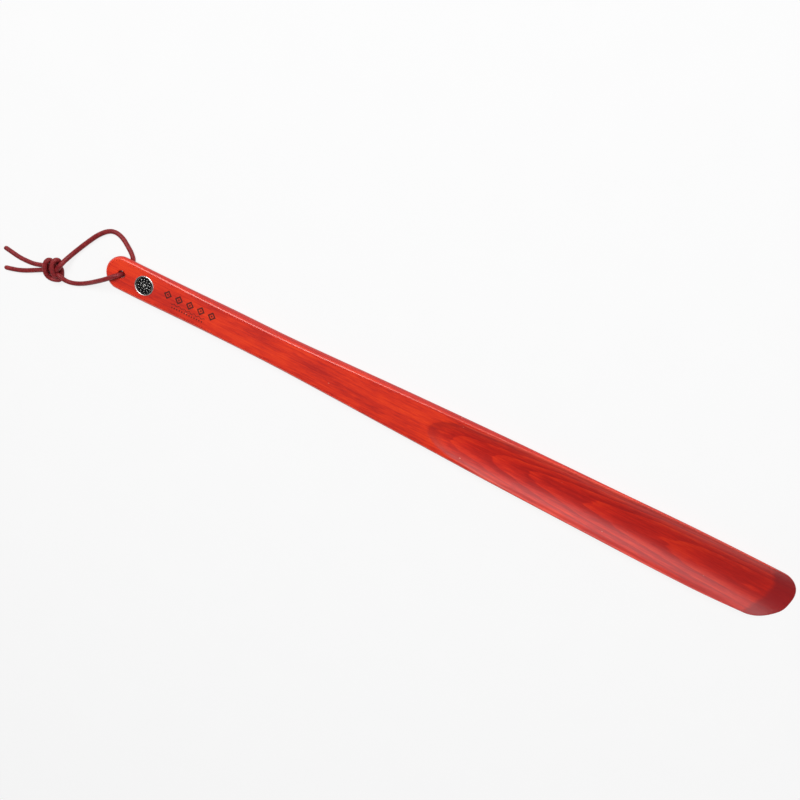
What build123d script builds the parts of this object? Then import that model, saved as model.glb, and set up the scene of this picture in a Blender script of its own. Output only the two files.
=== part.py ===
"""Long wooden shoehorn with an inlaid medallion and a leather hanging loop, in millimetres.

It lies on its back, scoop up. +X runs from the handle's end to the blade's tip, +Z is up, and the origin is
under the middle of the wood.
"""

import os
from math import radians, tan

from build123d import *

# Driving dimensions
LENGTH = 550.0
THICKNESS = 10.0  # board that the shoehorn is carved from
END_RADIUS = 12.2  # round end of the handle, seen from above
NOSE_REACH = 62.0  # from the blade's tip to where the nose's outline leaves the straight sides
SCOOP_RADIUS = 36.0  # hollow of the scoop, seen from the end
HOLE_RADIUS = 2.5
HOLE_CHAMFER = 0.6
HOLE_INSET = 12.0  # from the handle's end to the middle of the hanging hole
MEDALLION_INSET = 29.6
MEDALLION_RADIUS = 6.9
RECESS_DEPTH = 1.2
BEZEL_WIDTH = 0.8
BEZEL_HEIGHT = 0.6  # how far the bezel stands proud of the wood
CUP_FLOOR = 0.4
DISC_THICKNESS = 0.8
RELIEF_HEIGHT = 0.4
BOSS_RADIUS = 1.7
BEAD_RADIUS = 0.6
BEAD_COUNT = 12
BEAD_RING_RADIUS = 4.2
POST_RADIUS = 1.0
POST_LENGTH = 3.0
LACE_RADIUS = 1.65
END_UNDERSIDE = 4.0  # height of the underside at the handle's end, which lets the lace pass beneath it
REST_CUT = 0.15  # wood sanded off the underside, which leaves the flat that it rests on

BACK = -LENGTH / 2  # X of the handle's end
HOLE_X = BACK + HOLE_INSET
MEDALLION_X = BACK + MEDALLION_INSET
TOOL = 60.0  # larger than the wood is wide, for cutters

# Outline of the blade's nose seen from above: each side's arcs from the tip, as radius and degrees turned. The
# -Y side is worn rounder
NOSE_ARCS = {
    1: ((30.0, 8), (18.0, 40), (26.0, 42)),
    -1: ((30.0, 5), (12.0, 34), (31.0, 49)),
}

# Cross-sections of the wood from the handle's end: distance, half-width of the top face, bulge of the rounded
# side, height of the underside's middle, height at which the side ends and the underside begins
SECTIONS = [
    (0.0, 10.1, 1.8, END_UNDERSIDE, 4.6),
    (32.0, 10.0, 1.9, END_UNDERSIDE, 4.6),
    (60.0, 9.7, 2.1, 2.0, 2.6),
    (90.0, 9.7, 2.2, -REST_CUT, 0.5),
    (136.0, 10.1, 2.2, -REST_CUT, 0.5),
    (178.0, 11.6, 2.1, -REST_CUT, 0.6),
    (220.0, 13.3, 2.0, -REST_CUT, 0.9),
    (263.0, 14.9, 1.9, -REST_CUT, 1.8),
    (306.0, 16.5, 1.7, -REST_CUT, 3.2),
    (350.0, 18.0, 1.3, -REST_CUT, 4.9),
    (393.0, 19.2, 1.0, -REST_CUT, 6.2),
    (438.0, 20.4, 0.8, -REST_CUT, 7.0),
    (483.0, 21.1, 0.6, -REST_CUT, 7.4),
    (515.0, 21.1, 0.5, 1.0, 7.8),
    (LENGTH, 20.8, 0.4, 4.2, 8.4),
]

# Floor of the scoop: distance from the handle's end, height
SCOOP_FLOOR = [
    (225.0, 15.5),
    (251.0, 10.0),
    (265.0, 8.2),
    (290.0, 6.9),
    (320.0, 5.8),
    (360.0, 4.5),
    (400.0, 3.8),
    (440.0, 3.4),
    (490.0, 3.5),
    (520.0, 4.3),
    (LENGTH, 6.1),
    (LENGTH + 15.0, 7.6),
]

# Lace, from the middle of the hanging hole: X from the hole's axis, Y, Z
LACE_JOIN = (0.0, 0.0, 7.0)
KNOT_CENTRE = (-49.4, -22.0, 5.1)
KNOT_RADIUS = 8.0
KNOT_HEIGHT = 9.8
KNOT_ROUND = 4.2
REAR_LEG = [
    LACE_JOIN,
    (0.12, 0.25, 4.2),
    (0.8, 2.2, 2.1),
    (1.6, 6.3, 1.75),
    (1.5, 10.6, 1.75),
    (-1.3, 14.5, 1.75),
    (-5.6, 18.1, 1.75),
    (-10.2, 21.6, 1.75),
    (-15.5, 23.2, 1.75),
    (-20.9, 21.7, 1.75),
    (-27.2, 15.6, 1.75),
    (-33.5, 6.1, 1.75),
    (-39.6, -4.1, 2.0),
    (-44.4, -13.2, 3.6),
    (-47.0, -18.8, 4.8),
]
FRONT_LEG = [
    LACE_JOIN,
    (-0.11, -0.22, 9.55),
    (-1.7, -1.8, 11.9),
    (-5.2, -4.9, 12.5),
    (-9.6, -8.9, 11.6),
    (-15.1, -13.3, 8.9),
    (-21.7, -18.4, 5.4),
    (-28.7, -23.1, 2.6),
    (-35.1, -25.9, 2.0),
    (-40.4, -26.0, 3.0),
    (-44.9, -24.0, 4.4),
]
UPPER_TAIL = [
    (-52.0, -21.4, 3.8),
    (-57.9, -22.9, 2.2),
    (-65.3, -25.5, 1.8),
    (-70.9, -26.1, 1.8),
    (-77.1, -26.0, 1.8),
    (-82.9, -24.9, 1.8),
    (-88.0, -24.1, 1.8),
]
LOWER_TAIL = [
    (-51.6, -25.5, 3.8),
    (-57.4, -26.9, 2.2),
    (-63.3, -29.7, 1.8),
    (-70.0, -33.4, 1.8),
    (-77.1, -36.3, 1.8),
    (-84.4, -38.0, 1.8),
]


def station(distance, height=0.0):
    """Plane across the wood at a distance from the handle's end, its own X along Y and its own Y up."""
    return Plane(origin=(BACK + distance, 0, height), x_dir=(0, 1, 0), z_dir=(1, 0, 0))


def corner_radii(points):
    """Largest tangent arc for each corner of a lace: 0.45 of the shorter run over tan(half the turn)."""
    stops = [Vector(*p) for p in points]
    radii = []
    for before, corner, after in zip(stops, stops[1:], stops[2:]):
        run_in = corner - before
        run_out = after - corner
        half_turn = radians(run_in.get_angle(run_out) / 2)
        radii.append(0.45 * min(run_in.length, run_out.length) / tan(half_turn))
    return radii


def lace(points, name):
    """One stretch of lace: a round tube along straight runs joined by tangent arcs."""
    route = [(HOLE_X + x, y, z) for x, y, z in points]
    radii = corner_radii(route)
    with BuildPart() as tube:
        with BuildLine() as path:
            FilletPolyline(*route, radius=radii)
        with BuildSketch(Plane(origin=path.line @ 0, z_dir=path.line % 0)):
            Circle(LACE_RADIUS)
        sweep(path=path.line)
    tube.part.label = name
    length = sum(edge.length for edge in path.edges())
    section = Circle(LACE_RADIUS, mode=Mode.PRIVATE).area
    print(name, "tightest radius", round(min(radii), 1), "length", round(length, 1))
    print("  volume over section times length", round(tube.part.volume / (section * length), 4))
    export_step(tube.part, f"parts/{name}.step")


os.makedirs("parts", exist_ok=True)

# Wooden shoehorn: one carved board
with BuildPart() as shoehorn_body:
    for distance, half, bulge, middle, side_end in SECTIONS:
        side_middle = (THICKNESS + side_end) / 2
        with BuildSketch(station(distance)):
            with BuildLine():
                Line((-half, THICKNESS), (half, THICKNESS))
                ThreePointArc((half, THICKNESS), (half + bulge, side_middle), (half, side_end))
                ThreePointArc((half, side_end), (0, middle), (-half, side_end))
                ThreePointArc((-half, side_end), (-half - bulge, side_middle), (-half, THICKNESS))
            make_face()
    loft()
    with BuildSketch(Plane.XY.offset(-TOOL)):
        Rectangle(LENGTH, 2 * TOOL)
    extrude(amount=TOOL, mode=Mode.SUBTRACT)
    # Round end of the handle, seen from above
    with BuildSketch():
        with Locations((BACK, 0)):
            Rectangle(END_RADIUS, TOOL, align=(Align.MIN, Align.CENTER))
        with Locations((BACK + END_RADIUS, 0)):
            Circle(END_RADIUS, mode=Mode.SUBTRACT)
    extrude(amount=THICKNESS + 1, mode=Mode.SUBTRACT)
    # Rounded nose of the blade, seen from above
    with BuildSketch():
        with Locations((LENGTH / 2, 0)):
            Rectangle(NOSE_REACH, TOOL, align=(Align.MAX, Align.CENTER))
        with BuildLine():
            ends = []
            for side, arcs in NOSE_ARCS.items():
                place, heading = Vector(LENGTH / 2, 0), Vector(0, side)
                for radius, turned in arcs:
                    arc = JernArc(place, heading, radius, side * turned)
                    place, heading = arc @ 1, arc % 1
                ends.append(Line(place, place + heading * TOOL) @ 1)
            Line(*ends)
        make_face(mode=Mode.SUBTRACT)
    extrude(amount=THICKNESS + 1, mode=Mode.SUBTRACT)
    # Scoop: a round cutter whose lowest point follows the scoop's floor
    with BuildLine() as cutter_path:
        Spline([(BACK + distance, 0, height + SCOOP_RADIUS) for distance, height in SCOOP_FLOOR])
    with BuildSketch(Plane(origin=cutter_path.line @ 0, z_dir=cutter_path.line % 0)):
        Circle(SCOOP_RADIUS)
    sweep(path=cutter_path.line, mode=Mode.SUBTRACT)
    # Hanging hole, with a cone at both mouths
    with BuildSketch(Plane(origin=(HOLE_X, 0, 0), x_dir=(1, 0, 0), z_dir=(0, -1, 0))):
        with BuildLine():
            Polyline(
                (0, END_UNDERSIDE - 1),
                (HOLE_RADIUS + HOLE_CHAMFER + 1, END_UNDERSIDE - 1),
                (HOLE_RADIUS, END_UNDERSIDE + HOLE_CHAMFER),
                (HOLE_RADIUS, THICKNESS - HOLE_CHAMFER),
                (HOLE_RADIUS + HOLE_CHAMFER + 1, THICKNESS + 1),
                (0, THICKNESS + 1),
                close=True,
            )
        make_face()
    revolve(axis=Axis((HOLE_X, 0, 0), (0, 0, 1)), mode=Mode.SUBTRACT)
    # Blind recess for the medallion, and the hole for its post
    with Locations((MEDALLION_X, 0, THICKNESS)):
        Hole(MEDALLION_RADIUS, RECESS_DEPTH)
        Hole(POST_RADIUS, RECESS_DEPTH + POST_LENGTH)
shoehorn_body.part.label = "shoehorn_body"
export_step(shoehorn_body.part, "parts/shoehorn_body.step")

# Medallion: a shallow metal cup with a rounded rim, the embossed disc in it and the post on its back
with BuildPart() as medallion_bezel:
    with BuildSketch(Plane.XY.offset(THICKNESS - RECESS_DEPTH)):
        with Locations((MEDALLION_X, 0)):
            Circle(MEDALLION_RADIUS)
    extrude(amount=RECESS_DEPTH + BEZEL_HEIGHT)
    with BuildSketch(Plane.XY.offset(THICKNESS - RECESS_DEPTH + CUP_FLOOR)):
        with Locations((MEDALLION_X, 0)):
            Circle(MEDALLION_RADIUS - BEZEL_WIDTH)
    extrude(amount=RECESS_DEPTH + BEZEL_HEIGHT, mode=Mode.SUBTRACT)
    fillet(medallion_bezel.edges().group_by(Axis.Z)[-1], BEZEL_WIDTH * 0.4)
medallion_bezel.part.label = "medallion_bezel"
export_step(medallion_bezel.part, "parts/medallion_bezel.step")

with BuildPart() as medallion_disc:
    with BuildSketch(Plane.XY.offset(THICKNESS - RECESS_DEPTH + CUP_FLOOR)):
        with Locations((MEDALLION_X, 0)):
            Circle(MEDALLION_RADIUS - BEZEL_WIDTH)
    extrude(amount=DISC_THICKNESS)
    # Raised boss in the middle and a ring of beads round it
    with BuildSketch(Plane.XY.offset(THICKNESS - RECESS_DEPTH + CUP_FLOOR + DISC_THICKNESS)):
        with Locations((MEDALLION_X, 0)):
            Circle(BOSS_RADIUS)
            with PolarLocations(BEAD_RING_RADIUS, BEAD_COUNT):
                Circle(BEAD_RADIUS)
    extrude(amount=RELIEF_HEIGHT)
medallion_disc.part.label = "medallion_disc"
export_step(medallion_disc.part, "parts/medallion_disc.step")

with BuildPart() as medallion_post:
    with BuildSketch(Plane.XY.offset(THICKNESS - RECESS_DEPTH - POST_LENGTH)):
        with Locations((MEDALLION_X, 0)):
            Circle(POST_RADIUS)
    extrude(amount=POST_LENGTH)
medallion_post.part.label = "medallion_post"
export_step(medallion_post.part, "parts/medallion_post.step")

# Leather lace: the knot's outer shape, then the two legs of the loop and the two tails
knot_x, knot_y, knot_z = KNOT_CENTRE
with BuildPart() as lace_knot:
    with Locations((HOLE_X + knot_x, knot_y, knot_z)):
        Cylinder(KNOT_RADIUS, KNOT_HEIGHT)
    fillet(lace_knot.edges().filter_by(GeomType.CIRCLE), KNOT_ROUND)
lace_knot.part.label = "lace_knot"
export_step(lace_knot.part, "parts/lace_knot.step")

lace(REAR_LEG, "lace_rear_leg")
lace(FRONT_LEG, "lace_front_leg")
lace(UPPER_TAIL, "lace_tail_upper")
lace(LOWER_TAIL, "lace_tail_lower")
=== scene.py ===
"""Looks of the long wooden shoehorn, in metres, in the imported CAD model's frame.

The wood is one closed skin built from the CAD model's sections, with rounded edges. The medallion is a turned
bezel round an embossed disc. The leather lace is two cords, because it leaves its hole at both ends.
"""

from math import asin, cos, pi, radians, sin
from types import SimpleNamespace

import bmesh
import bpy
import numpy as np
from mathutils import Matrix, Vector, noise


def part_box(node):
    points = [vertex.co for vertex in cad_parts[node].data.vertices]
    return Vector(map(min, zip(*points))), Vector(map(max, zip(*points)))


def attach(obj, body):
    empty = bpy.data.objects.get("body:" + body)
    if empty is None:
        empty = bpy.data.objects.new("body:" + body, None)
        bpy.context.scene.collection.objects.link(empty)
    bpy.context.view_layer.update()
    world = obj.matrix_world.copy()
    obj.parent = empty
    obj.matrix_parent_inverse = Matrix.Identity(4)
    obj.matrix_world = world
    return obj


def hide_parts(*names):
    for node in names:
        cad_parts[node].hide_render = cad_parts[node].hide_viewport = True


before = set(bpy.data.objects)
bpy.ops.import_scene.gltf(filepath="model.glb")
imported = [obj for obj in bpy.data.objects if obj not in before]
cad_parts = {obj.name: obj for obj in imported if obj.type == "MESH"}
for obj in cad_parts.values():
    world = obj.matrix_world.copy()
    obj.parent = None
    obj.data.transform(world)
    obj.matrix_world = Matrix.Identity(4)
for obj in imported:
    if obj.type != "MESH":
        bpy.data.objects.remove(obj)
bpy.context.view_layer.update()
wood_low, wood_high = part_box("shoehorn_body")
BACK = wood_low.x  # the handle's end
LENGTH = wood_high.x - wood_low.x
TOP = wood_high.z
HOLE_INSET = 0.012  # from the handle's end to the middle of the hanging hole
HOLE_X = BACK + HOLE_INSET
medallion_low, medallion_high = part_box("medallion_bezel")
MEDALLION_X = (medallion_low.x + medallion_high.x) / 2


# ---------------------------------------------------------------- camera
CAMERA_PLACE = Vector((-0.06896, 0.15429, 0.42198))
CAMERA_AHEAD = Vector((0.04265, -0.33255, -0.94212))
CAMERA_UP = Vector((-0.44625, 0.83735, -0.31577))
CAMERA_LENS = 27.9

camera = bpy.data.objects.new("camera", bpy.data.cameras.new("camera"))
bpy.context.scene.collection.objects.link(camera)
ahead = CAMERA_AHEAD.normalized()
right = ahead.cross(CAMERA_UP).normalized()
camera.matrix_world = Matrix.Translation(CAMERA_PLACE) @ Matrix(
    (right, right.cross(ahead), -ahead)).transposed().to_4x4()
camera.data.lens = CAMERA_LENS
camera.data.sensor_width = 36.0
camera.data.clip_start = 0.01
bpy.context.scene.camera = camera


# ---------------------------------------------------------------- node helpers
def new_material(name):
    """A material, its Principled shader and the functions that add nodes to it."""
    made = bpy.data.materials.new(name)
    made.use_nodes = True
    tree = made.node_tree
    shader = tree.nodes["Principled BSDF"]

    def add(kind, *inputs, **settings):
        """A new node: inputs are values, or sockets to link, in the node's own order. None skips one."""
        node = tree.nodes.new(kind)
        for key, value in settings.items():
            setattr(node, key, value)
        for socket, value in zip(node.inputs, inputs):
            if isinstance(value, bpy.types.NodeSocket):
                tree.links.new(value, socket)
            elif value is not None:
                socket.default_value = value
        return node

    def math(operation, *inputs, clamp=False):
        return add("ShaderNodeMath", *inputs, operation=operation, use_clamp=clamp).outputs[0]

    def ramp(fac, *stops):
        node = add("ShaderNodeValToRGB", fac)
        while len(node.color_ramp.elements) < len(stops):
            node.color_ramp.elements.new(0.5)
        for element, (position, colour) in zip(node.color_ramp.elements, stops):
            element.position = position
            element.color = (*colour, 1)
        return node.outputs["Color"]

    def mix(fac, first, second, blend_type="MIX"):
        node = add("ShaderNodeMix", data_type="RGBA", blend_type=blend_type)
        for socket, value in zip((node.inputs[0], node.inputs[6], node.inputs[7]), (fac, first, second)):
            if isinstance(value, bpy.types.NodeSocket):
                tree.links.new(value, socket)
            else:
                socket.default_value = value if socket.type == "VALUE" else (*value, 1)
        return node.outputs[2]

    def scaled(x, y, z, coordinates="Object"):
        """The piece's own coordinates, scaled to waves per metre along X, Y and Z."""
        place = add("ShaderNodeTexCoord").outputs[coordinates]
        node = add("ShaderNodeMapping", place)
        node.inputs["Scale"].default_value = (x, y, z)
        return node.outputs[0]

    def grain(vector, detail=4.0, roughness=0.55, distortion=0.0):
        node = add("ShaderNodeTexNoise", vector)
        node.inputs["Scale"].default_value = 1.0
        node.inputs["Detail"].default_value = detail
        node.inputs["Roughness"].default_value = roughness
        node.inputs["Distortion"].default_value = distortion
        return node.outputs["Fac"]

    def spread(value, low, high, to_low=0.0, to_high=1.0):
        node = add("ShaderNodeMapRange", value, low, high, to_low, to_high)
        node.interpolation_type = "SMOOTHSTEP"
        return node.outputs[0]

    def link(value, socket_name):
        tree.links.new(value, shader.inputs[socket_name])

    def bump(height, distance, strength=1.0, normal=None):
        node = add("ShaderNodeBump")
        node.inputs["Strength"].default_value = strength
        node.inputs["Distance"].default_value = distance
        tree.links.new(height, node.inputs["Height"])
        if normal is not None:
            tree.links.new(normal, node.inputs["Normal"])
        return node.outputs[0]

    return made, shader, SimpleNamespace(
        add=add, math=math, ramp=ramp, mix=mix, scaled=scaled, grain=grain, spread=spread, link=link, bump=bump)


def set_inputs(shader, **values):
    for name, value in values.items():
        shader.inputs[name.replace("_", " ")].default_value = value


def new_mesh(name, vertices, faces, *materials):
    """An object with that mesh, its faces turned outwards and shaded smooth."""
    data = bpy.data.meshes.new(name)
    data.from_pydata([tuple(v) for v in vertices], [], faces)
    work = bmesh.new()
    work.from_mesh(data)
    bmesh.ops.delete(work, geom=[v for v in work.verts if not v.link_faces], context="VERTS")
    bmesh.ops.recalc_face_normals(work, faces=work.faces)
    work.to_mesh(data)
    work.free()
    data.polygons.foreach_set("use_smooth", [True] * len(data.polygons))
    for material in materials:
        data.materials.append(material)
    made = bpy.data.objects.new(name, data)
    bpy.context.scene.collection.objects.link(made)
    return made


# ---------------------------------------------------------------- leather lace
LACE_DIAMETER = 0.0033
# Both routes start inside the hanging hole. X is from the hole's axis.
FRONT_ROUTE = [
    (0, 0, 0.007),
    (-0.00011, -0.00022, 0.00955),
    (-0.0017, -0.0018, 0.0119),
    (-0.0052, -0.0049, 0.0125),
    (-0.0096, -0.0089, 0.0116),
    (-0.0151, -0.0133, 0.0089),
    (-0.0217, -0.0184, 0.0054),
    (-0.0287, -0.0231, 0.0026),
    (-0.0351, -0.0259, 0.002),
    # through the knot, as its outer ring
    (-0.0394, -0.0257, 0.0039),
    (-0.0416, -0.0241, 0.0056),
    (-0.045, -0.023, 0.0056),
    (-0.049, -0.0262, 0.0034),
    (-0.0528, -0.0267, 0.0018),
    (-0.0548, -0.0247, 0.0017),
    (-0.0543, -0.0213, 0.0019),
    (-0.0526, -0.0179, 0.0034),
    (-0.0519, -0.0154, 0.006),
    (-0.0531, -0.0161, 0.0078),
    (-0.0538, -0.0191, 0.0082),
    (-0.0532, -0.0229, 0.0081),
    (-0.0517, -0.0265, 0.0073),
    (-0.0492, -0.0287, 0.0056),
    (-0.0458, -0.0283, 0.0044),
    (-0.044, -0.0277, 0.003),
    (-0.0436, -0.0256, 0.0017),
    (-0.0445, -0.0221, 0.0017),
    (-0.045, -0.0194, 0.0024),
    (-0.0465, -0.0179, 0.0044),
    (-0.0496, -0.0184, 0.0052),
    (-0.0544, -0.0212, 0.0047),
    # the upper tail
    (-0.0595, -0.0235, 0.0035),
    (-0.0653, -0.0255, 0.0023),
    (-0.0709, -0.0261, 0.0018),
    (-0.0771, -0.026, 0.0018),
    (-0.0829, -0.0249, 0.0018),
    (-0.088, -0.0241, 0.0018),
]
REAR_ROUTE = [
    (0, 0, 0.007),
    (0.00012, 0.00025, 0.0042),
    (0.0008, 0.0022, 0.0021),
    (0.0016, 0.0063, 0.00175),
    (0.0015, 0.0106, 0.00175),
    (-0.0013, 0.0145, 0.00175),
    (-0.0056, 0.0181, 0.00175),
    (-0.0102, 0.0216, 0.00175),
    (-0.0155, 0.0232, 0.00175),
    (-0.0209, 0.0217, 0.00175),
    (-0.0272, 0.0156, 0.00175),
    (-0.0335, 0.0061, 0.00175),
    (-0.0396, -0.0041, 0.002),
    # through the knot, as its inner ring
    (-0.0423, -0.0102, 0.0042),
    (-0.043, -0.0132, 0.0066),
    (-0.0442, -0.017, 0.0074),
    (-0.0462, -0.0211, 0.0062),
    (-0.0495, -0.0243, 0.0036),
    (-0.0521, -0.0245, 0.0018),
    (-0.052, -0.0215, 0.0017),
    (-0.0499, -0.0187, 0.0018),
    (-0.0472, -0.0157, 0.0034),
    (-0.0463, -0.0129, 0.006),
    (-0.0477, -0.0131, 0.0079),
    (-0.0489, -0.0163, 0.0084),
    (-0.0481, -0.0208, 0.0083),
    (-0.0465, -0.0241, 0.0075),
    (-0.0457, -0.0254, 0.0059),
    (-0.0457, -0.0255, 0.0034),
    (-0.0469, -0.0242, 0.0019),
    (-0.0472, -0.0222, 0.0018),
    (-0.0473, -0.0209, 0.0032),
    (-0.0491, -0.021, 0.0047),
    (-0.0533, -0.0236, 0.0047),
    # the lower tail
    (-0.0584, -0.0269, 0.0033),
    (-0.0633, -0.0297, 0.0021),
    (-0.07, -0.0334, 0.0018),
    (-0.0771, -0.0363, 0.0018),
    (-0.0844, -0.038, 0.0018),
]
LACE_SIDES = 28
LACE_WOBBLE = 0.035  # share by which the lace's thickness varies
WOBBLE_WAVES = 260  # per metre along the lace


def leather_material():
    made, shader, k = new_material("lace_leather")
    fine = k.grain(k.scaled(2600, 2600, 900, "UV"), detail=5, roughness=0.6)
    coarse = k.grain(k.scaled(420, 420, 420), detail=3)
    tone = k.math("ADD", k.math("MULTIPLY", fine, 0.45), k.math("MULTIPLY", coarse, 0.55))
    colour = k.ramp(tone, (0.3, (0.12, 0.007, 0.010)), (0.5, (0.22, 0.013, 0.016)), (0.7, (0.36, 0.028, 0.027)))
    k.link(colour, "Base Color")
    k.link(k.spread(fine, 0.3, 0.7, 0.4, 0.58), "Roughness")
    k.link(k.bump(fine, 0.00012, 0.7), "Normal")
    set_inputs(shader, Specular_IOR_Level=0.3)
    return made


def cut_leather_material():
    made, shader, k = new_material("cut_leather")
    fibres = k.grain(k.scaled(3200, 3200, 3200), detail=5, roughness=0.7)
    k.link(k.ramp(fibres, (0.3, (0.3, 0.05, 0.04)), (0.7, (0.62, 0.22, 0.17))), "Base Color")
    k.link(k.bump(fibres, 0.0002), "Normal")
    set_inputs(shader, Roughness=0.85)
    return made


def spline_points(route, name):
    """Points along a smooth NURBS spline that the route's points control."""
    curve = bpy.data.curves.new(name, "CURVE")
    curve.dimensions = "3D"
    curve.resolution_u = 14
    spline = curve.splines.new("NURBS")
    spline.points.add(len(route) - 1)
    for point, (x, y, z) in zip(spline.points, route):
        point.co = (HOLE_X + x, y, z, 1)
    spline.order_u = 3
    spline.use_endpoint_u = True
    holder = bpy.data.objects.new(name, curve)
    line = bpy.data.meshes.new_from_object(holder)
    points = np.array([v.co for v in line.vertices])
    bpy.data.objects.remove(holder)
    bpy.data.curves.remove(curve)
    bpy.data.meshes.remove(line)
    return points


def lace_cord(name, route, skin, cut):
    """A round leather lace along the route, and its points. Its far end is cut square, a little rounded."""
    points = spline_points(route, name)
    steps = np.linalg.norm(np.diff(points, axis=0), axis=1)
    along = np.concatenate([[0], np.cumsum(steps)])
    tangents = np.gradient(points, axis=0)
    tangents /= np.linalg.norm(tangents, axis=1)[:, None]
    side = np.cross(tangents[0], (0.0, 1.0, 0.0))
    radius = LACE_DIAMETER / 2
    angles = 2 * pi * np.arange(LACE_SIDES) / LACE_SIDES
    rings = []
    for place, tangent, distance in zip(points, tangents, along):
        side -= tangent * side.dot(tangent)
        side /= np.linalg.norm(side)
        over = np.cross(tangent, side)
        wobble = 1 + LACE_WOBBLE * noise.noise(Vector((distance * WOBBLE_WAVES, len(route), 0)))
        from_end = along[-1] - distance
        rounding = min(1.0, 0.8 + 0.2 * (max(from_end, 0) / (0.5 * radius)) ** 0.5)
        ring = [place + radius * wobble * rounding * (cos(a) * side + sin(a) * over) for a in angles]
        rings.append(ring)
    vertices = [v for ring in rings for v in ring]
    count = len(rings)
    faces = []
    for i in range(count - 1):
        for j in range(LACE_SIDES):
            next_j = (j + 1) % LACE_SIDES
            faces.append((i * LACE_SIDES + j, i * LACE_SIDES + next_j,
                          (i + 1) * LACE_SIDES + next_j, (i + 1) * LACE_SIDES + j))
    start_cap, end_cap = len(vertices), len(vertices) + 1
    vertices += [points[0], points[-1] + tangents[-1] * 0.08 * radius]
    last = (count - 1) * LACE_SIDES
    for j in range(LACE_SIDES):
        next_j = (j + 1) % LACE_SIDES
        faces.append((start_cap, j, next_j))
        faces.append((end_cap, last + j, last + next_j))
    piece = new_mesh(name, vertices, faces, skin, cut)
    uv = piece.data.uv_layers.new(name="UVMap")
    for polygon in piece.data.polygons:
        columns = [v % LACE_SIDES for v in polygon.vertices]
        seam = max(columns) - min(columns) > LACE_SIDES / 2
        capped = any(v >= start_cap for v in polygon.vertices)
        if capped:
            polygon.material_index = 1
        for loop in polygon.loop_indices:
            v = piece.data.loops[loop].vertex_index
            if v >= start_cap:
                continue
            column = v % LACE_SIDES
            if seam and column < LACE_SIDES / 2:
                column += LACE_SIDES
            uv.data[loop].uv = (column / LACE_SIDES * pi * LACE_DIAMETER, along[v // LACE_SIDES])
    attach(piece, "hanging_loop")
    return piece, points


leather, cut_leather = leather_material(), cut_leather_material()
front_lace, front_points = lace_cord("lace_front", FRONT_ROUTE, leather, cut_leather)
rear_lace, rear_points = lace_cord("lace_rear", REAR_ROUTE, leather, cut_leather)
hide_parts("lace_front_leg", "lace_knot", "lace_tail_upper")
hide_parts("lace_rear_leg", "lace_tail_lower")


# ---------------------------------------------------------------- wooden body
# Cross-sections: distance from the handle's end, half-width of the top face, bulge of the rounded side, height of
# the underside's middle, height at which the side ends
SECTIONS = np.array([
    (0.0, 0.0101, 0.0018, 0.004, 0.0046),
    (0.032, 0.01, 0.0019, 0.004, 0.0046),
    (0.06, 0.0097, 0.0021, 0.002, 0.0026),
    (0.09, 0.0097, 0.0022, -0.00015, 0.0005),
    (0.136, 0.0101, 0.0022, -0.00015, 0.0005),
    (0.178, 0.0116, 0.0021, -0.00015, 0.0006),
    (0.22, 0.0133, 0.002, -0.00015, 0.0009),
    (0.263, 0.0149, 0.0019, -0.00015, 0.0018),
    (0.306, 0.0165, 0.0017, -0.00015, 0.0032),
    (0.35, 0.018, 0.0013, -0.00015, 0.0049),
    (0.393, 0.0192, 0.001, -0.00015, 0.0062),
    (0.438, 0.0204, 0.0008, -0.00015, 0.007),
    (0.483, 0.0211, 0.0006, -0.00015, 0.0074),
    (0.515, 0.0211, 0.0005, 0.001, 0.0078),
    (0.55, 0.0208, 0.0004, 0.0042, 0.0084),
])
# Floor of the scoop: distance from the handle's end, height
SCOOP_FLOOR = np.array([
    (0.225, 0.0155),
    (0.251, 0.01),
    (0.265, 0.0082),
    (0.29, 0.0069),
    (0.32, 0.0058),
    (0.36, 0.0045),
    (0.4, 0.0038),
    (0.44, 0.0034),
    (0.49, 0.0035),
    (0.52, 0.0043),
    (0.55, 0.0061),
    (0.565, 0.0076),
])
SCOOP_RADIUS = 0.036
END_RADIUS = 0.0122
# Outline of the blade's nose on the +Y and the -Y side: arcs from the tip, as radius and degrees turned
NOSE_ARCS = {
    1: ((0.03, 8), (0.018, 40), (0.026, 42)),
    -1: ((0.03, 5), (0.012, 34), (0.031, 49)),
}
NOSE_START = 0.46
NOSE_ROWS = 118
EDGE_ROUND = 0.0006  # wood sanded off the upper edge
LOWER_ROUND = 0.0008
ROW_STEP = 0.00085
COLUMNS = 54
SIDE_STEPS = 9  # faces up the side, between the two rounded edges
EDGE_STEPS = 4  # faces round each of those
HOLE_RADIUS = 0.0025
HOLE_ROUND = 0.0006
HOLE_REACH = 0.0036
RECESS_RADIUS = 0.00692
RECESS_REACH = 0.0078
RECESS_DEPTH = 0.0012
ORNAMENT_X = BACK + 0.064  # its middle
ORNAMENT_HALF = 0.021
LOZENGE_PITCH = 0.0084
LOZENGE_Y = 0.0018
WAVE_LENGTH = 0.0038
WAVE_Y = -0.0028
DOT_PITCH = 0.0019
DOT_Y = -0.0052
POST_RADIUS = 0.001
POST_LENGTH = 0.003


def smooth_value(table, column, distance):
    """A table's column at a distance, along a smooth curve through its rows."""
    xs, ys = table[:, 0], table[:, column]
    slopes = np.gradient(ys, xs)
    distance = np.clip(distance, xs[0], xs[-1])
    i = np.clip(np.searchsorted(xs, distance) - 1, 0, len(xs) - 2)
    span = xs[i + 1] - xs[i]
    t = (distance - xs[i]) / span
    return ((2 * t**3 - 3 * t**2 + 1) * ys[i] + (t**3 - 2 * t**2 + t) * span * slopes[i]
            + (3 * t**2 - 2 * t**3) * ys[i + 1] + (t**3 - t**2) * span * slopes[i + 1])


def smooth_min(a, b, reach):
    """The smaller of two values, rounded where they are within reach of each other."""
    near = np.clip(0.5 + 0.5 * (b - a) / reach, 0, 1)
    return b * (1 - near) + a * near - reach * near * (1 - near)


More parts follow.
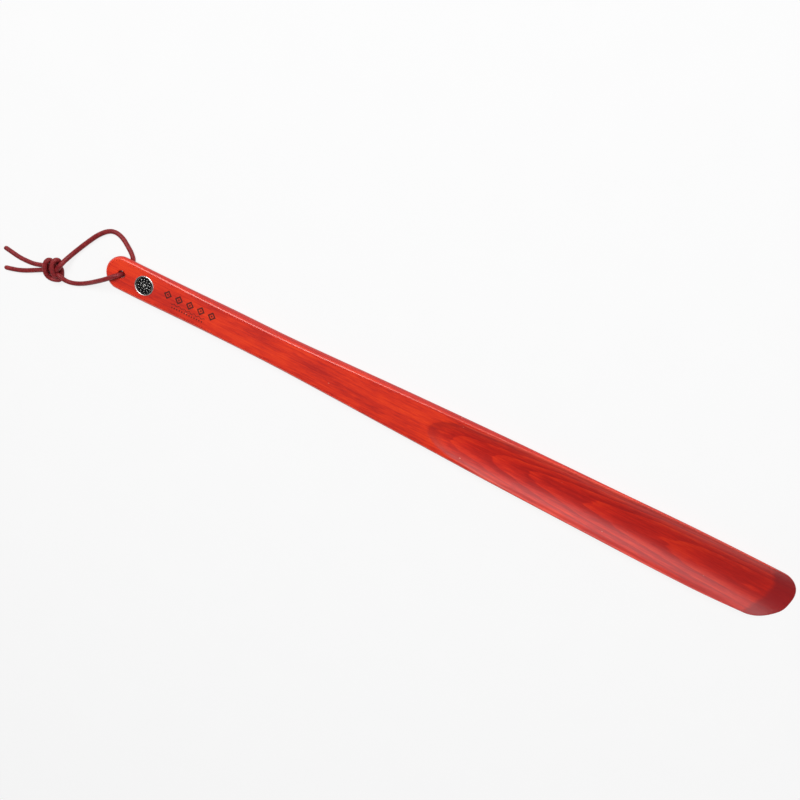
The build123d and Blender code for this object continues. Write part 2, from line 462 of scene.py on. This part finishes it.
def top_height(distance, y):
    """Height of the top face and the scoop."""
    floor = smooth_value(SCOOP_FLOOR, 1, distance)
    half = smooth_value(SECTIONS, 1, distance)
    depth = np.maximum(TOP - floor, 0.0005)
    to_rim = (half**2 + depth**2) / (2 * depth)  # radius that brings the scoop to the rim
    share = np.clip((distance - 0.3) / 0.06, 0, 1)
    radius = SCOOP_RADIUS + (to_rim - SCOOP_RADIUS) * share * share * (3 - 2 * share)
    scoop = floor + radius - np.sqrt(np.maximum(radius**2 - y**2, 1e-9))
    return smooth_min(TOP, scoop, 0.0004)


def underside_height(distance, y):
    middle = smooth_value(SECTIONS, 3, distance)
    side_end = smooth_value(SECTIONS, 4, distance)
    half = smooth_value(SECTIONS, 1, distance)
    return np.maximum(-smooth_min(-(middle + (side_end - middle) * (y / half) ** 2), 0.0, 0.0003), 0)


def side_outline(side):
    """Distances along the wood and its half-widths there, from the handle's end to the blade's tip."""
    def sides(distance):
        return smooth_value(SECTIONS, 1, distance) + smooth_value(SECTIONS, 2, distance)

    turns = np.radians(np.arange(0, 90, 2.5))
    distances = np.concatenate([END_RADIUS * (1 - np.cos(turns)), np.arange(END_RADIUS, NOSE_START, ROW_STEP)])
    halves = []
    for distance in distances:
        back = min(distance, END_RADIUS)
        end = (END_RADIUS**2 - (END_RADIUS - back) ** 2) ** 0.5 + (distance - back)
        halves.append(smooth_min(end, sides(distance), 0.0006) if end > 0.004 else end)
    # The nose, from its tip outwards
    x, y, heading = LENGTH, 0.0, pi / 2
    nose = [(x, y)]
    for radius, degrees in NOSE_ARCS[side]:
        for _ in range(2 * degrees):
            x += radius * radians(0.5) * cos(heading + radians(0.25))
            y += radius * radians(0.5) * sin(heading + radians(0.25))
            heading += radians(0.5)
            nose.append((x, y))
    while x > NOSE_START:
        x += ROW_STEP * cos(heading)
        y += ROW_STEP * sin(heading)
        nose.append((x, y))
    nose = np.array(nose[::-1])
    nose[:, 1] = smooth_min(nose[:, 1], sides(nose[:, 0]), 0.0006)
    nose[-1, 1] = 0
    along = np.concatenate([[0], np.cumsum(np.linalg.norm(np.diff(nose, axis=0), axis=1))])
    places = np.linspace(0, along[-1], NOSE_ROWS)
    nose = np.column_stack([np.interp(places, along, nose[:, 0]), np.interp(places, along, nose[:, 1])])
    return np.vstack([np.column_stack([distances, halves]), nose[1:]])


def wood_profile(distance, y, out):
    """Points from the top face over the rounded edge, down the side and under, where the outline has that
    outward direction. out is (x, y), and distance and y are the outline's own."""
    bulge = smooth_value(SECTIONS, 2, distance)
    edge = np.array([distance, y]) - out * bulge
    top, bottom = top_height(edge[0], edge[1]), underside_height(edge[0], edge[1])
    rise = (top - bottom) / 2
    radius = (bulge**2 + rise**2) / (2 * bulge)
    limit = asin(min(rise / radius, 1.0))
    middle = (top + bottom) / 2
    upper = min(EDGE_ROUND, 0.35 * rise)
    lower = min(LOWER_ROUND, 0.4 * rise)

    def side(angle):
        return radius * cos(angle) - (radius - bulge), middle + radius * sin(angle)

    def inset(amount, height):
        place = edge - out * amount
        return -amount, float(height(place[0], place[1]))

    def rounded(start, corner, end):
        for step in range(EDGE_STEPS + 1):
            t = step / EDGE_STEPS
            yield tuple((1 - t) ** 2 * a + 2 * t * (1 - t) * b + t * t * c
                        for a, b, c in zip(start, corner, end))

    first, last = limit - upper / radius, -limit + lower / radius
    profile = list(rounded(inset(upper, top_height), (0, top), side(first)))
    profile += [side(first + (last - first) * step / SIDE_STEPS) for step in range(1, SIDE_STEPS)]
    profile += list(rounded(side(last), (0, bottom), inset(lower, underside_height)))
    return [(edge[0] + out[0] * o, edge[1] + out[1] * o, z) for o, z in profile]


def wood_skin():
    """Vertices and faces of the whole body."""
    outlines = {side: side_outline(side) for side in (1, -1)}
    rows = len(outlines[1])
    last = rows - 1
    around = 2 * last
    vertices = []

    def add_ring(side, i):
        outline = outlines[side]
        if i in (0, last):
            out = np.array([1.0 if i else -1.0, 0.0])
        else:
            run = outline[i + 1] - outline[i - 1]
            out = np.array([-run[1], run[0]]) / np.linalg.norm(run)
        for x, y, z in wood_profile(outline[i, 0], outline[i, 1], out):
            vertices.append((BACK + x, side * y, z))

    for i in range(rows):
        add_ring(1, i)
    ring = len(vertices) // rows
    for i in range(last - 1, 0, -1):
        add_ring(-1, i)
    faces = []
    for s in range(around):
        following = (s + 1) % around
        for k in range(ring - 1):
            faces.append((s * ring + k, following * ring + k, following * ring + k + 1, s * ring + k + 1))

    def grid(level, height):
        """Rows of vertices across the wood, between ring vertices of one level on its two sides."""
        table = []
        share = np.arange(1, COLUMNS) / COLUMNS
        for i in range(1, last):
            a, b = i * ring + level, (around - i) * ring + level
            x, y = (vertices[a][n] + (vertices[b][n] - vertices[a][n]) * share for n in (0, 1))
            start = len(vertices)
            vertices.extend(zip(x, y, height(x - BACK, y)))
            table.append([a, *range(start, len(vertices)), b])
        return table

    def patch(table, centre_x, reach):
        """Rows and columns of the square of faces that a round hole replaces."""
        inside = [i for i, row in enumerate(table) if abs(vertices[row[0]][0] - centre_x) < reach]
        i0, i1 = inside[0], inside[-1]
        row = table[(i0 + i1) // 2]
        columns = [j for j in range(COLUMNS + 1) if abs(vertices[row[j]][1]) < reach]
        return i0, i1, columns[0], columns[-1]

    def loop_of(table, square):
        i0, i1, j0, j1 = square
        return ([table[i0][j] for j in range(j0, j1)] + [table[i][j1] for i in range(i0, i1)]
                + [table[i1][j] for j in range(j1, j0, -1)] + [table[i][j0] for i in range(i1, i0, -1)])

    def round_ring(loop, centre_x, radius, height, share=1.0):
        """A ring of vertices on a circle, or part of the way there from the loop, joined to it by faces."""
        start = len(vertices)
        for v in loop:
            x, y, _ = vertices[v]
            away = Vector((x - centre_x, y)).normalized() * radius
            x = x + (centre_x + away.x - x) * share
            y = y + (away.y - y) * share
            vertices.append((x, y, float(height(x - BACK, y)) if callable(height) else height))
        made = list(range(start, len(vertices)))
        join(loop, made)
        return made

    def join(first, second):
        for n in range(len(first)):
            m = (n + 1) % len(first)
            faces.append((first[n], first[m], second[m], second[n]))

    top, under = grid(0, top_height), grid(ring - 1, underside_height)
    hole = patch(top, HOLE_X, HOLE_REACH)
    recess = patch(top, MEDALLION_X, RECESS_REACH)
    for table, squares in ((top, (hole, recess)), (under, (hole,))):
        for i in range(len(table) - 1):
            for j in range(COLUMNS):
                if not any(i0 <= i < i1 and j0 <= j < j1 for i0, i1, j0, j1 in squares):
                    faces.append((table[i][j], table[i][j + 1], table[i + 1][j + 1], table[i + 1][j]))
        end, nose = table[0][0] - ring, last * ring + (table[0][0] % ring)
        for j in range(COLUMNS):
            faces.append((end, table[0][j], table[0][j + 1]))
            faces.append((nose, table[-1][j], table[-1][j + 1]))
    # Hanging hole: rounded mouths above and below, and the bore between them
    mouths = []
    for table, height, sign in ((top, top_height, -1), (under, underside_height, 1)):
        rim = loop_of(table, hole)
        for share in (0.5, 1.0):
            rim = round_ring(rim, HOLE_X, HOLE_RADIUS + HOLE_ROUND, height, share)
        level = vertices[rim[0]][2]
        for turn in np.radians([22.5, 45, 67.5, 90]):
            rim = round_ring(rim, HOLE_X, HOLE_RADIUS + HOLE_ROUND * (1 - sin(turn)),
                             level + sign * HOLE_ROUND * (1 - cos(turn)))
        mouths.append(rim)
    join(*mouths)
    # Recess for the medallion, and the blind hole for its post
    rim = loop_of(top, recess)
    for share in (0.4, 0.75, 1.0):
        rim = round_ring(rim, MEDALLION_X, RECESS_RADIUS + 0.00005, TOP, share)
    for radius, level in ((RECESS_RADIUS, TOP - 0.00005), (RECESS_RADIUS, TOP - RECESS_DEPTH),
                          (POST_RADIUS, TOP - RECESS_DEPTH), (POST_RADIUS, TOP - RECESS_DEPTH - POST_LENGTH)):
        rim = round_ring(rim, MEDALLION_X, radius, level)
    bottom = len(vertices)
    vertices.append((MEDALLION_X, 0, TOP - RECESS_DEPTH - POST_LENGTH))
    for n in range(len(rim)):
        faces.append((rim[n], rim[(n + 1) % len(rim)], bottom))
    return vertices, faces


def wood_material():
    """Orange-red stain under a semi-gloss lacquer, deeper in the scoop, where the cut crosses the grain."""
    made, shader, k = new_material("stained_wood")
    place = k.add("ShaderNodeSeparateXYZ", k.scaled(1, 1, 1)).outputs
    x, y, z = place[0], place[1], place[2]
    fibre = k.grain(k.scaled(70, 2600, 2600), detail=5, roughness=0.68)
    streak = k.grain(k.scaled(16, 620, 620), detail=4, roughness=0.6)
    mottle = k.grain(k.scaled(120, 900, 900), detail=3, roughness=0.6)
    cloud = k.grain(k.scaled(24, 90, 90), detail=3)
    # Growth layers nearly parallel to the board, which the scoop cuts into nested flames
    sway = k.grain(k.scaled(9, 70, 70), detail=3, roughness=0.6)
    layer = k.math("ADD", k.math("MULTIPLY", z, 420), k.math("MULTIPLY", x, -14.5))
    layer = k.math("ADD", layer, k.math("MULTIPLY", k.math("MULTIPLY", y, y), 3000))
    layer = k.math("ADD", layer, k.math("MULTIPLY", sway, 1.5))
    saw = k.math("FRACT", layer)
    flame = k.math("MINIMUM", k.spread(saw, 0.95, 0.1), k.spread(saw, 0.0, 0.07))
    depth = k.spread(z, TOP - 0.0003, TOP - 0.003)
    tone = k.math("MULTIPLY", k.math("MULTIPLY", flame, depth), 0.2)
    for part, share in ((cloud, 0.5), (streak, 0.4), (mottle, 0.36), (fibre, 0.2)):
        tone = k.math("ADD", tone, k.math("MULTIPLY", part, share))
    face = k.ramp(tone, (0.57, (0.84, 0.050, 0.010)), (0.71, (0.70, 0.029, 0.009)),
                  (0.86, (0.47, 0.015, 0.010)))
    deep = k.ramp(tone, (0.56, (0.82, 0.043, 0.0085)), (0.78, (0.62, 0.0165, 0.0070)),
                  (0.98, (0.42, 0.0085, 0.0065)))
    colour = k.mix(depth, face, deep)
    # Towards the tip the colour is darker, painted shade for the light falling off along the wood.
    # The lip is darker still, partly end grain that takes more stain and partly painted shade
    colour = k.mix(k.spread(x, 0.06, 0.25, 0.0, 0.3), colour, (0.34, 0.006, 0.006))
    # The lip's mask: its dark colour is end-grain stain and painted shade
    lip_start = k.math("ADD", x, k.math("ADD", k.math("MULTIPLY", k.math("MULTIPLY", y, y), 26),
                                        k.math("MULTIPLY", sway, 0.012)))
    lip = k.spread(lip_start, 0.2605, 0.2655)
    colour = k.mix(k.math("MULTIPLY", lip, 0.8), colour, (0.27, 0.0075, 0.011))
    # Stain pools along the scoop's rim
    pool = k.math("MULTIPLY", k.spread(z, TOP - 0.0016, TOP - 0.0007),
                  k.spread(z, TOP - 0.00004, TOP - 0.0003))
    pool = k.math("MULTIPLY", pool, k.spread(x, -0.06, -0.05))
    # Outer edges paler, partly rubbed and partly a painted highlight along the rounded edge, with a few small
    # nicks
    from_middle = k.math("ABSOLUTE", y)
    rim = k.math("MAXIMUM", k.math("ADD", k.math("MULTIPLY", x, 0.0306), 0.0152), 0.0096)
    outer = k.spread(k.math("SUBTRACT", from_middle, rim), -0.0028, -0.0016)
    colour = k.mix(k.math("MULTIPLY", pool, k.spread(outer, 1.0, 0.0, 0.0, 0.45)), colour,
                   (0.36, 0.010, 0.010))
    arris = k.math("MULTIPLY", k.spread(z, TOP - 0.0007, TOP - 0.0002),
                   k.spread(z, TOP - 0.00001, TOP - 0.0001))
    # Paler edge colour: wear, and a painted highlight along the rounded edge
    edge_wear_and_highlight = k.math("MULTIPLY", k.math("MULTIPLY", arris, outer), k.spread(streak, 0.35, 0.7, 0.15, 0.6))
    colour = k.mix(edge_wear_and_highlight, colour, (0.88, 0.13, 0.085))
    dents = k.add("ShaderNodeTexVoronoi", k.scaled(95, 150, 150), feature="F1")
    dents.inputs["Scale"].default_value = 1.0
    nick = k.math("MULTIPLY", k.spread(dents.outputs["Distance"], 0.085, 0.05), k.spread(cloud, 0.56, 0.6))
    colour = k.mix(k.math("MULTIPLY", nick, 0.6), colour, (0.85, 0.33, 0.24))
    # The sides are darker low down, painted shade near the floor, and have no lacquer
    side = k.math("MULTIPLY", outer, k.spread(z, TOP - 0.0004, TOP - 0.0012))
    colour = k.mix(k.math("MULTIPLY", side, 0.35), colour, (0.42, 0.020, 0.014))
    # Burnt-in border ornament: a row of lozenges, a wave and a row of dots
    along = k.math("SUBTRACT", x, ORNAMENT_X)
    inside = k.spread(k.math("ABSOLUTE", along), ORNAMENT_HALF, ORNAMENT_HALF - 0.0001)

    def cell(pitch):
        """Distance from the middle of each of a row of cells."""
        share = k.math("FRACT", k.math("ADD", k.math("DIVIDE", along, pitch), 0.5))
        return k.math("MULTIPLY", k.math("ABSOLUTE", k.math("SUBTRACT", share, 0.5)), pitch)

    def across(level):
        return k.math("ABSOLUTE", k.math("SUBTRACT", y, level))

    lozenge = k.math("ADD", k.math("DIVIDE", cell(LOZENGE_PITCH), 0.0031),
                     k.math("DIVIDE", across(LOZENGE_Y), 0.0033))
    lozenges = k.math("MULTIPLY", k.spread(lozenge, 1.04, 0.96), k.spread(lozenge, 0.5, 0.58))
    lozenges = k.math("MAXIMUM", lozenges, k.spread(lozenge, 0.3, 0.24))
    sway_line = k.math("MULTIPLY", k.math("SINE", k.math("MULTIPLY", along, 2 * pi / WAVE_LENGTH)),
                       0.0005)
    from_wave = k.math("ABSOLUTE", k.math("SUBTRACT", k.math("ADD", y, -WAVE_Y), sway_line))
    wave = k.spread(from_wave, 0.00028, 0.00018)
    dots = k.spread(k.math("ADD", cell(DOT_PITCH), across(DOT_Y)), 0.00075, 0.0006)
    short = k.spread(k.math("ABSOLUTE", along), ORNAMENT_HALF * 0.62, ORNAMENT_HALF * 0.61)
    lines = k.math("MULTIPLY", k.math("MAXIMUM", wave, dots), short)
    burnt = k.math("MAXIMUM", k.math("MULTIPLY", lozenges, inside), lines)
    burnt = k.math("MULTIPLY", k.math("MULTIPLY", burnt, k.spread(z, TOP - 0.0003, TOP - 0.0001)),
                   k.spread(mottle, 0.25, 0.45, 0.7, 0.92))
    colour = k.mix(burnt, colour, (0.06, 0.010, 0.008))
    k.link(colour, "Base Color")
    k.link(k.math("ADD", k.spread(fibre, 0.3, 0.7, 0.34, 0.44), k.math("MULTIPLY", side, 0.25)), "Roughness")
    k.link(k.spread(side, 0.0, 1.0, 0.7, 0.3), "Coat Weight")
    ripple = k.bump(k.grain(k.scaled(40, 260, 260), detail=2), 0.0004, 0.25)
    pores = k.bump(fibre, 0.00004, 0.6, ripple)
    k.link(k.bump(nick, -0.0002, 0.6, pores), "Normal")
    set_inputs(shader, Coat_Roughness=0.26, Specular_IOR_Level=0.3)
    return made


wood_vertices, wood_faces = wood_skin()
wood = new_mesh("wood_body", wood_vertices, wood_faces, wood_material())
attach(wood, "shoehorn")
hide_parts("shoehorn_body")


# ---------------------------------------------------------------- medallion
BEZEL_OUTER = (medallion_high.x - medallion_low.x) / 2
BEZEL_WIDTH = 0.0008
BEZEL_CROWN = 0.0004  # height and half-width of its rounded top
BEZEL_BOTTOM = medallion_low.z
CUP_FLOOR = 0.0004
DISC_RADIUS = BEZEL_OUTER - BEZEL_WIDTH
DISC_TOP = BEZEL_BOTTOM + CUP_FLOOR + 0.0008  # ground of the relief
RELIEF = 0.0004
DISC_SIDES = 288
DISC_RINGS = 76
PETALS = 8
BEADS = 12
BEAD_RING = 0.0042
BEAD_RADIUS = 0.0006
BOSS_RADIUS = 0.0017


def relief_height(radius, angle):
    """Height above the ground: a domed boss, petals, a ring of beads and a rope border."""
    boss = max(0.0, 1 - (radius / BOSS_RADIUS) ** 2) ** 0.5 * (1 - 0.35 * max(0.0, 1 - (radius / 0.0006) ** 2))
    along = (radius - 0.0026) / 0.00095
    petal_angle = (angle * PETALS / (2 * pi)) % 1 - 0.5
    across = petal_angle / 0.47
    petal = max(0.0, 1 - along**2 - across**2) ** 0.5 * (0.75 + 0.25 * min(1.0, abs(across) * 4))
    bead_angle = ((angle * BEADS / (2 * pi)) % 1 - 0.5) * 2 * pi / BEADS
    from_bead = ((radius * cos(bead_angle) - BEAD_RING) ** 2 + (radius * sin(bead_angle)) ** 2) ** 0.5
    bead = max(0.0, 1 - (from_bead / BEAD_RADIUS) ** 2) ** 0.5
    rope_share = max(0.0, 1 - ((radius - 0.00545) / 0.00042) ** 2) ** 0.5
    rope = rope_share * (0.75 + 0.25 * sin(48 * angle + radius * 2400))
    grit = 0.035 * noise.noise(Vector((radius * cos(angle) * 2500, radius * sin(angle) * 2500, 3.0)))
    return RELIEF * min(1.0, max(boss, 0.8 * petal, 0.85 * bead, 0.7 * rope) + max(grit, 0.0))


def turned(name, profile, sides, material, height=None):
    """A piece turned about the medallion's axis, where its profile starts and ends. height adds relief."""
    angles = 2 * pi * np.arange(sides) / sides
    vertices = [(MEDALLION_X, 0, profile[0][1])]
    for radius, z, raised in profile[1:-1]:
        for angle in angles:
            lift = height(radius, angle) if raised else 0.0
            vertices.append((MEDALLION_X + radius * cos(angle), radius * sin(angle), z + lift))
    end = len(vertices)
    radius, z, raised = profile[-1]
    vertices.append((MEDALLION_X, 0, z + (height(0.0, 0.0) if raised else 0.0)))
    rings = len(profile) - 2
    faces = []
    for j in range(sides):
        n = (j + 1) % sides
        faces.append((0, 1 + j, 1 + n))
        faces.append((end, 1 + (rings - 1) * sides + j, 1 + (rings - 1) * sides + n))
        for i in range(rings - 1):
            a, b = 1 + i * sides, 1 + (i + 1) * sides
            faces.append((a + j, a + n, b + n, b + j))
    piece = new_mesh(name, vertices, faces, material)
    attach(piece, "shoehorn")
    return piece


def bezel_material():
    made, shader, k = new_material("polished_bezel")
    scratches = k.grain(k.scaled(700, 2600, 900), detail=4, roughness=0.6)
    k.link(k.ramp(scratches, (0.35, (0.74, 0.73, 0.71)), (0.65, (0.86, 0.85, 0.83))), "Base Color")
    k.link(k.spread(scratches, 0.3, 0.75, 0.16, 0.34), "Roughness")
    k.link(k.bump(scratches, 0.00002, 0.5), "Normal")
    set_inputs(shader, Metallic=1.0)
    return made


def relief_material():
    """Silver, darkened by age in the hollows and worn bright on the relief."""
    made, shader, k = new_material("aged_silver")
    z = k.add("ShaderNodeSeparateXYZ", k.scaled(1, 1, 1)).outputs[2]
    stain = k.grain(k.scaled(1500, 1500, 1500), detail=4, roughness=0.65)
    worn = k.math("ADD", k.spread(z, DISC_TOP + 0.00006, DISC_TOP + 0.00034),
                  k.math("MULTIPLY", k.math("SUBTRACT", stain, 0.55), 0.9), clamp=True)
    k.link(k.ramp(worn, (0.25, (0.008, 0.008, 0.010)), (0.6, (0.06, 0.058, 0.058)), (1.0, (0.62, 0.61, 0.59))),
           "Base Color")
    k.link(k.spread(worn, 0.0, 1.0, 0.55, 0.27), "Roughness")
    k.link(k.bump(stain, 0.00004, 0.8), "Normal")
    set_inputs(shader, Metallic=1.0)
    return made


def post_material():
    made, shader, k = new_material("post_metal")
    lines = k.grain(k.scaled(300, 300, 6000), detail=3)
    k.link(k.ramp(lines, (0.3, (0.42, 0.42, 0.42)), (0.7, (0.55, 0.55, 0.55))), "Base Color")
    k.link(k.spread(lines, 0.3, 0.7, 0.3, 0.45), "Roughness")
    set_inputs(shader, Metallic=1.0)
    return made


crown_level = medallion_high.z - BEZEL_CROWN
crown = [(BEZEL_OUTER - BEZEL_CROWN * (1 - cos(turn)), crown_level + BEZEL_CROWN * sin(turn), False)
         for turn in np.radians(np.arange(0, 181, 12))]
bezel = turned("medallion_ring", [
    (0, BEZEL_BOTTOM, False), (BEZEL_OUTER - 0.0001, BEZEL_BOTTOM, False),
    (BEZEL_OUTER, BEZEL_BOTTOM + 0.0001, False),
    *crown, (DISC_RADIUS, BEZEL_BOTTOM + CUP_FLOOR, False), (0, BEZEL_BOTTOM + CUP_FLOOR, False)],
    160, bezel_material())
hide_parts("medallion_bezel")

relief_rings = [(DISC_RADIUS * (1 - i / DISC_RINGS), DISC_TOP, True) for i in range(1, DISC_RINGS + 1)]
relief = turned("medallion_relief", [
    (0, BEZEL_BOTTOM + CUP_FLOOR, False), (DISC_RADIUS, BEZEL_BOTTOM + CUP_FLOOR, False),
    (DISC_RADIUS, DISC_TOP, False), *relief_rings], DISC_SIDES, relief_material(), relief_height)
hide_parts("medallion_disc")

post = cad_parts["medallion_post"]
post.data.materials.clear()
post.data.materials.append(post_material())


# ---------------------------------------------------------------- floor and light
FLOOR_GLOW = 0.822
SKY_HORIZON = 0.9
SKY_OVERHEAD = 0.08
KEY_POWER = 15.5
STRIP_POWER = 4.4

bpy.ops.mesh.primitive_plane_add(size=12, location=(0, 0, 0))
floor = bpy.context.object
floor.name = "floor"
floor_material, floor_shader, kit = new_material("pale_floor")
floor_grain = kit.grain(kit.scaled(30, 30, 30))
kit.link(kit.ramp(floor_grain, (0.3, (0.136, 0.136, 0.137)), (0.7, (0.141, 0.141, 0.142))), "Base Color")
# It glows evenly, except under the wood, where the missing glow is a painted shadow
floor_place = kit.add("ShaderNodeSeparateXYZ", kit.scaled(1, 1, 1)).outputs
outside_painted_shadow = kit.math("MAXIMUM", kit.spread(kit.math("ABSOLUTE", floor_place[1]), 0.006, 0.0105),
                  kit.spread(kit.math("ABSOLUTE", floor_place[0]), wood_high.x - 0.012, wood_high.x - 0.004))
kit.link(kit.math("MULTIPLY", outside_painted_shadow, FLOOR_GLOW), "Emission Strength")
set_inputs(floor_shader, Roughness=0.9, Specular_IOR_Level=0.0, Emission_Color=(1, 1, 1, 1))
floor.data.materials.append(floor_material)

# A studio that is dim overhead and bright round the horizon
world = bpy.data.worlds.new("studio")
bpy.context.scene.world = world
world.use_nodes = True
sky = world.node_tree
up = sky.nodes.new("ShaderNodeSeparateXYZ")
sky.links.new(sky.nodes.new("ShaderNodeTexCoord").outputs["Generated"], up.inputs[0])
brightness = sky.nodes.new("ShaderNodeMapRange")
brightness.interpolation_type = "SMOOTHSTEP"
sky.links.new(up.outputs["Z"], brightness.inputs["Value"])
for name, value in (("From Min", 0.1), ("From Max", 0.42), ("To Min", SKY_HORIZON), ("To Max", SKY_OVERHEAD)):
    brightness.inputs[name].default_value = value
sky.links.new(brightness.outputs["Result"], sky.nodes["Background"].inputs["Strength"])
sky.nodes["Background"].inputs["Color"].default_value = (1.0, 1.0, 1.0, 1)


def area_light(name, place, target, size, power):
    data = bpy.data.lights.new(name, "AREA")
    data.shape = "RECTANGLE"
    data.size, data.size_y = size
    data.energy = power
    made = bpy.data.objects.new(name, data)
    bpy.context.scene.collection.objects.link(made)
    made.location = place
    made.rotation_euler = (Vector(target) - Vector(place)).to_track_quat("-Z", "Y").to_euler()
    return made


area_light("key", (-0.4, 0.55, 1.15), (-0.05, 0, 0), (0.9, 0.8), KEY_POWER)
area_light("strip", (0.65, 0.5, 1.15), (0.1, 0, 0), (0.95, 0.7), STRIP_POWER)
bpy.context.scene.view_settings.view_transform = "Standard"
